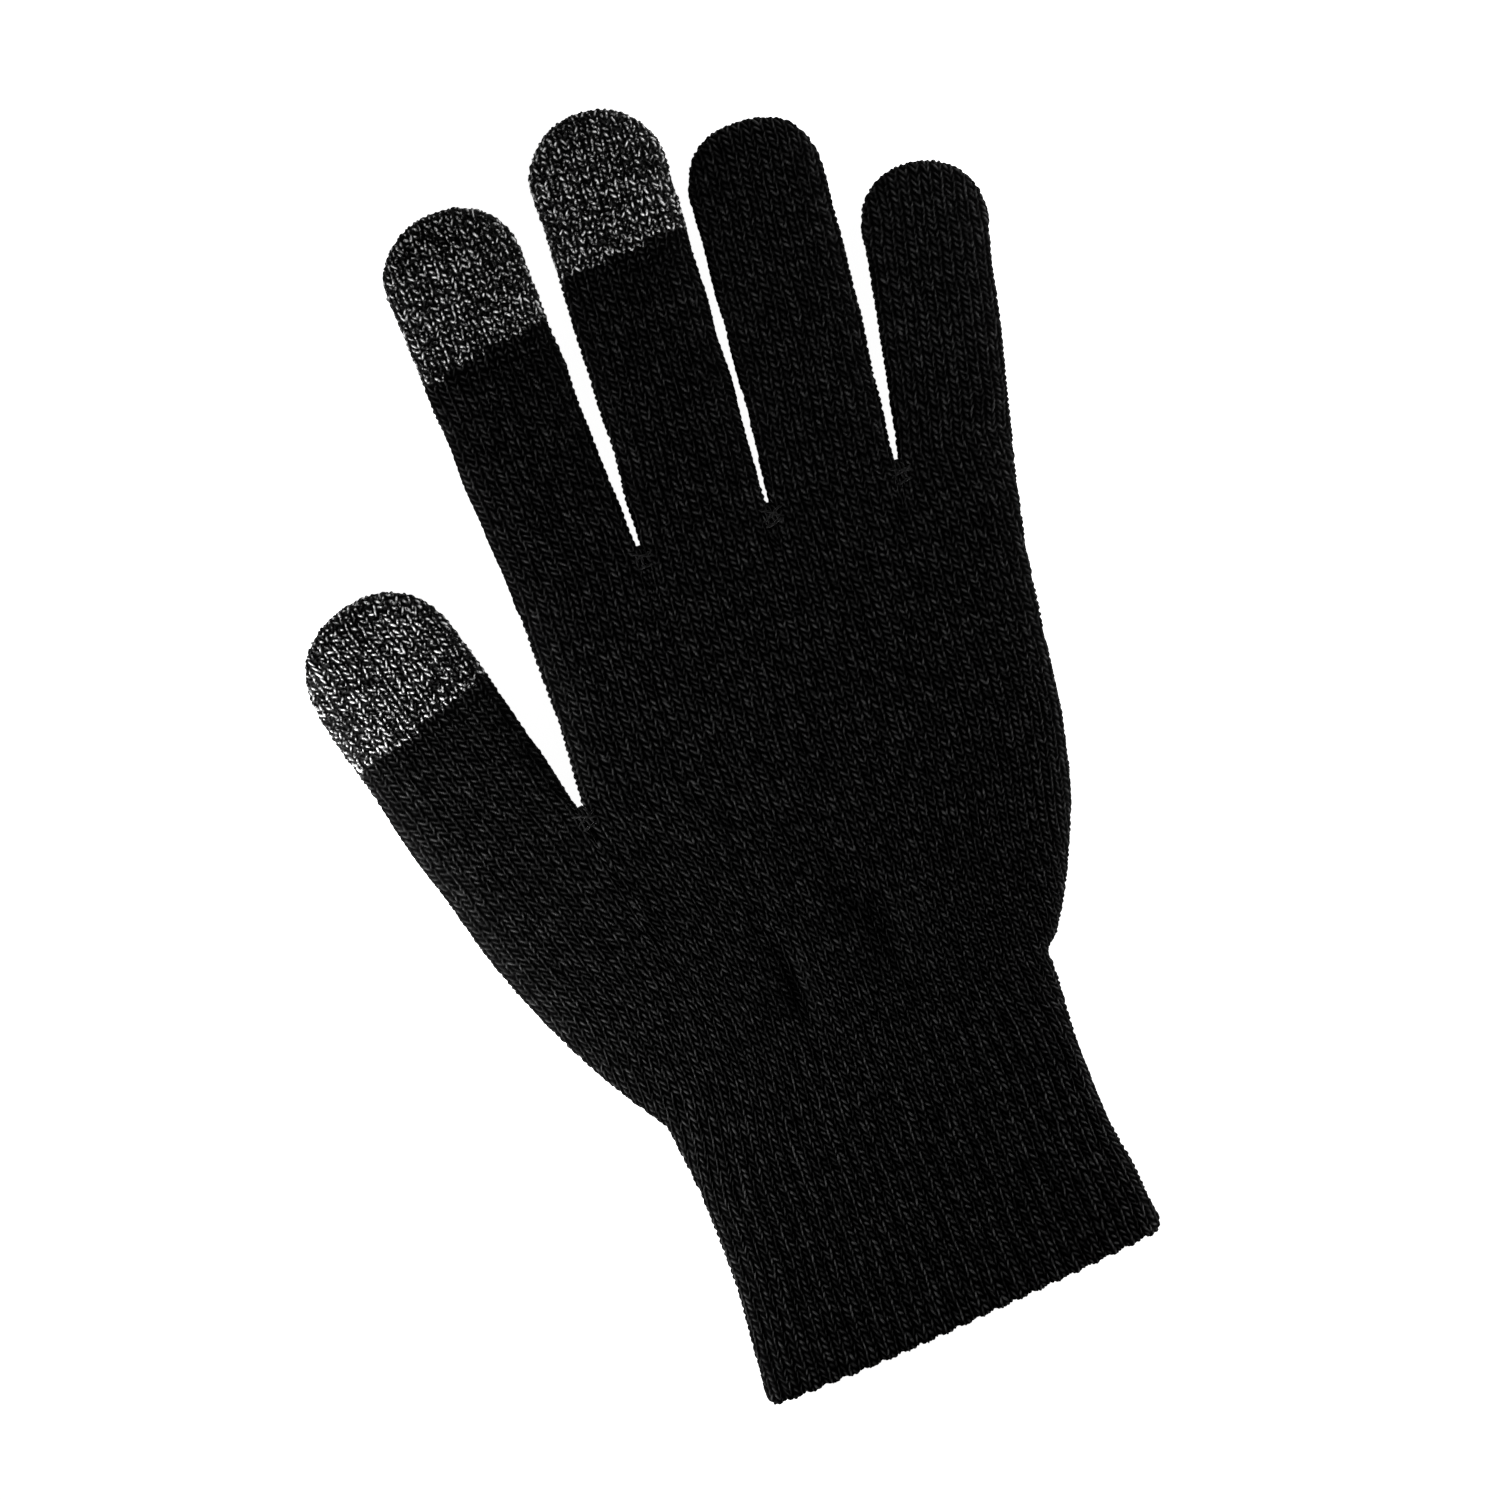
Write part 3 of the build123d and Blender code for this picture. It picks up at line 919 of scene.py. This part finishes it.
# The mouth bulges, its corners are rounded and each rib ends in a small scallop.
strip_rib = np.linspace(0, RIBS, all_columns)[None, :] + np.zeros((len(source), 1))
from_side = np.minimum(strip_rib, RIBS - strip_rib) * RIB
corner = CORNER - np.sqrt(
    np.clip(CORNER**2 - np.clip(CORNER - from_side, 0, CORNER) ** 2, 0, None)
)
bulge = -0.15 + 0.9 * np.sin(math.pi * strip_rib / RIBS) - corner
bulge += 0.16 * np.cos(2 * math.pi * (strip_rib - 0.35))
near_mouth = smooth(source * ROW_STEP, (outer - 1) * ROW_STEP - 9, (outer - 1) * ROW_STEP)[:, None]
for layer in (strip.upper, strip.lower):
    layer[..., :2] += (bulge * near_mouth)[..., None] * mouth_down

crotch_column = palm_w[-1, 0]
thumb_end = thumb.body.across[0, -1]
top_w = np.concatenate((crotch_column + (thumb.body.across[0] - thumb_end) / WALE, palm_w[-1]))
bottom_w = top_w[0] + THUMB_SLIP + 2 * strip_rib[:1]
# The columns that the crotch's folds squeeze spread out first. Then all close up for the cuff.
even_w = np.linspace(top_w[0], top_w[-1], all_columns)[None, :]
spread = smooth(rows, 0, SPREAD_BY)[:, None]
ease = smooth(rows, SPREAD_BY, CLOSED_BY)[:, None]
strip_w = (top_w * (1 - spread) + even_w * spread) * (1 - ease) + bottom_w * ease
# The columns run straighter than the sides do, past the notch of the wrist.
astray = [averaged(side[:, 0], 50)[source, None] - side[source, :1] for side in sides]
share = strip_rib / RIBS
strip_w -= (astray[0] * (1 - share) + astray[1] * share) / WALE
walked = np.concatenate(([0], np.cumsum(np.linalg.norm(np.diff(left, axis=0), axis=1))))
past_mouth = walked - walked[outer - 1] + (outer - 1) * ROW_STEP
walked = np.where(np.arange(len(source)) < outer, source * ROW_STEP, past_mouth)
strip_c = palm_c[-1].mean() - walked[:, None] / COURSE + np.zeros((1, all_columns))
ribs = smooth(source.astype(float), heel_rows - 14 / ROW_STEP, heel_rows + 12 / ROW_STEP)
ribs = ribs[:, None] + np.zeros((1, all_columns))

for name in FINGERS:
    digits[name].knit(palm_column(digits[name].base[0]), 0.0)
thumb.knit(crotch_column - thumb_end / WALE, palm_c[-1].mean())
for digit in digits.values():
    digit_pieces(digit)
    tied_end(digit)

for (first, second), place in crotches.items():
    toward = np.array((0.0, 1.0))
    if first == "thumb":
        toward = np.array((-0.2, 0.98))
    darned(first, second, place, toward)

points, facts = knitted(palm, palm_w, palm_c)
half_way = upper_rows // 2
halves = (("palm_knuckle_knit", 0, half_way), ("palm_middle_knit", half_way, upper_rows - 1))
for name, low, high in halves:
    piece = dress(mesh_piece(name, points, facts, low, high), BLACK, "black_knit", "palm_upper")
    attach(piece, "palm")

points, facts = knitted(strip, strip_w, strip_c, ribs, bottom_w[0, 0])
bend, welt = int(WRIST_PIECE / ROW_STEP), int(WELT / ROW_STEP)
cuff_cut = (heel_rows + bend + outer - welt) // 2
cuts = (
    0, heel_rows // 3, 2 * heel_rows // 3, heel_rows - bend, heel_rows + bend,
    cuff_cut, outer - 1 - welt, len(source) - 1,
)
spans = (
    ("palm_thumb_knit", "palm", "palm_lower"),
    ("palm_centre_knit", "palm", "palm_lower"),
    ("palm_heel_knit", "palm", "palm_lower"),
    ("wrist_knit", None, "palm_lower"),
    ("cuff_upper_knit", "cuff", "cuff"),
    ("cuff_lower_knit", "cuff", "cuff"),
    ("cuff_welt_knit", "cuff", "cuff_welt"),
)
for (name, body, covers), low, high in zip(spans, cuts, cuts[1:]):
    piece = dress(mesh_piece(name, points, facts, low, high), BLACK, "black_knit", covers)
    if body:
        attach(piece, body)
    else:
        start = Vector((*(wrist - wrist_down * WRIST_BEND) * MM, 0))
        end = Vector((*(wrist + wrist_down * WRIST_BEND) * MM, 0))
        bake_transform(piece)

# The elastic threads, laid into the inner face of the cuff.
loops = []
for k in range(1, THREADS + 1):
    at = np.array([heel_rows + int(k * cuff_rows / (THREADS + 1))])
    fold, half = np.array([FOLD - FABRIC]), np.array([HALF_HEIGHT - FABRIC])
    start, end = sides[0][at] + mouth_across * FABRIC, sides[1][at] - mouth_across * FABRIC
    layer = Tube(start, end, fold, fold, half, 70)
    around = ring(layer.upper, layer.lower)[0]
    loops.append(np.vstack((around, around[:3])))
piece = yarn_piece("elastic_threads", loops, 0.3, 1)
dress(piece, ELASTIC, "elastic_thread", "cuff_elastic")
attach(piece, "cuff")


# ---------------------------------------------------------------- floor, light and camera


def stage_floor():
    """A plain white floor, lit enough from within that the glove throws hardly any shadow."""
    material, tree, main = shader("studio_floor")
    main.inputs["Base Color"].default_value = (0.9, 0.9, 0.9, 1)
    main.inputs["Roughness"].default_value = 0.9
    main.inputs["Specular IOR Level"].default_value = 0.0
    main.inputs["Emission Color"].default_value = (1, 1, 1, 1)
    main.inputs["Emission Strength"].default_value = 0.97
    mesh = bpy.data.meshes.new("floor")
    size = 3.0
    corners = [(-size, -size, 0), (size, -size, 0), (size, size, 0), (-size, size, 0)]
    mesh.from_pydata(corners, [], [(0, 1, 2, 3)])
    floor = bpy.data.objects.new("floor", mesh)
    bpy.context.scene.collection.objects.link(floor)
    floor.data.materials.append(material)
    floor.location.z = -0.0004


def area_light(name, place, size, power):
    """A soft square lamp that faces the glove."""
    lamp = bpy.data.lights.new(name, "AREA")
    lamp.size = size
    lamp.energy = power
    made = bpy.data.objects.new(name, lamp)
    bpy.context.scene.collection.objects.link(made)
    made.location = place
    made.rotation_euler = (-Vector(place)).to_track_quat("-Z", "Y").to_euler()
    made.visible_camera = False


def camera():
    """Straight down, from far off, turned so that the fingers point up and to the left."""
    middle = (Vector(CAD_BOX[0]) + Vector(CAD_BOX[1])) / 2
    data = bpy.data.cameras.new("camera")
    distance, span, roll = 1.6, 0.267, math.radians(-18.5)
    data.sensor_width = 36
    data.lens = 36 * distance / span
    made = bpy.data.objects.new("camera", data)
    made.location = (middle.x + 0.00036, middle.y - 0.0027, distance)
    made.rotation_euler = (0, 0, roll)
    bpy.context.scene.collection.objects.link(made)
    bpy.context.scene.camera = made


stage_floor()
area_light("key", (-0.15, -0.04, 0.05), 0.085, 0.56)
area_light("fill", (0.15, 0.12, 0.08), 0.08, 0.20)
area_light("rim", (0.165, -0.09, 0.024), 0.045, 0.30)
world = bpy.data.worlds.new("studio")
world.use_nodes = True
world.node_tree.nodes["Background"].inputs["Color"].default_value = (1, 1, 1, 1)
world.node_tree.nodes["Background"].inputs["Strength"].default_value = 0.06
bpy.context.scene.world = world
bpy.context.scene.view_settings.view_transform = "Standard"
camera()
